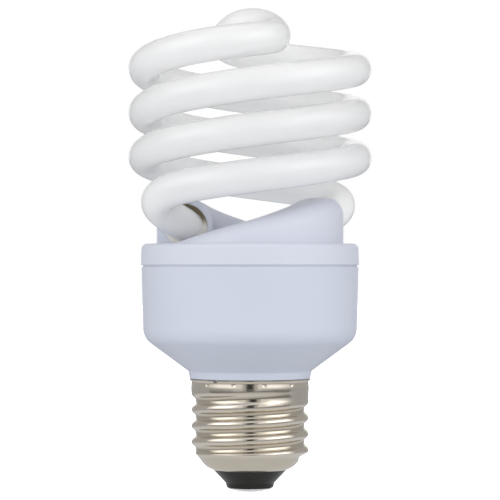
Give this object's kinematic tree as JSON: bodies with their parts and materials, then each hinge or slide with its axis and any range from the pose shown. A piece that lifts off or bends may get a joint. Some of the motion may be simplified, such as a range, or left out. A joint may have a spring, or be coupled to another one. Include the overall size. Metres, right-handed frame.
{
  "type": "spiral energy saving bulb",
  "caption": "Compact fluorescent bulb: a white double-helix glass tube on a pale plastic ballast housing with a threaded screw cap, for lighting a room from a lampholder.",
  "frame": {"origin": "flat tip of the centre contact, on the bulb's axis", "axes": "+Z along the axis from the contact to the glass; -Y towards the viewer of the picture; the tube's ends enter the cover on the X axis"},
  "size_m": [0.055, 0.055, 0.109],
  "materials": {
    "phosphor_glass": "milky white, smooth and slightly glossy",
    "white_plastic": "satin, very pale blue white",
    "sealant": "matt",
    "nickel": "plated, polished",
    "black_glass": "glossy black",
    "contact_metal": "soldered, satin",
    "board": "matt",
    "ferrite": "matt",
    "copper": "enamelled, glossy",
    "bobbin_plastic": "matt",
    "capacitor_sleeve": "glossy sleeve",
    "film_coating": "glossy dip",
    "black_epoxy": "matt",
    "resistor_coating": "glossy",
    "bare_wire": "plain",
    "red_sleeve": "glossy",
    "white_sleeve": "glossy"
  },
  "bodies": {
    "root": {"spiral_tube": "phosphor_glass", "tube_cover": "white_plastic", "tube_sealant": "sealant", "ballast_housing": "white_plastic", "screw_shell": "nickel", "cap_insulator": "black_glass", "centre_contact": "contact_metal", "live_lead": "red_sleeve", "neutral_lead": "white_sleeve", "circuit_board": "board", "bulk_capacitor": "capacitor_sleeve", "choke_bobbin": "bobbin_plastic", "choke_core": "ferrite", "choke_winding": "copper", "drive_toroid": "ferrite", "drive_windings": "copper", "resonant_capacitor": "film_coating", "coupling_capacitor": "film_coating", "filter_inductor_core": "ferrite", "filter_inductor_winding": "copper", "fuse_resistor": "resistor_coating", "trigger_diac": "black_epoxy", "power_transistor_1": "black_epoxy", "power_transistor_2": "black_epoxy", "rectifier_diode_1": "black_epoxy", "rectifier_diode_2": "black_epoxy", "rectifier_diode_3": "black_epoxy", "rectifier_diode_4": "black_epoxy", "base_resistor_1": "resistor_coating", "base_resistor_2": "resistor_coating", "wrap_post_1": "bare_wire", "electrode_lead_1": "bare_wire", "wrap_post_2": "bare_wire", "electrode_lead_2": "bare_wire", "wrap_post_3": "bare_wire", "electrode_lead_3": "bare_wire", "wrap_post_4": "bare_wire", "electrode_lead_4": "bare_wire"}
  },
  "joints": []
}
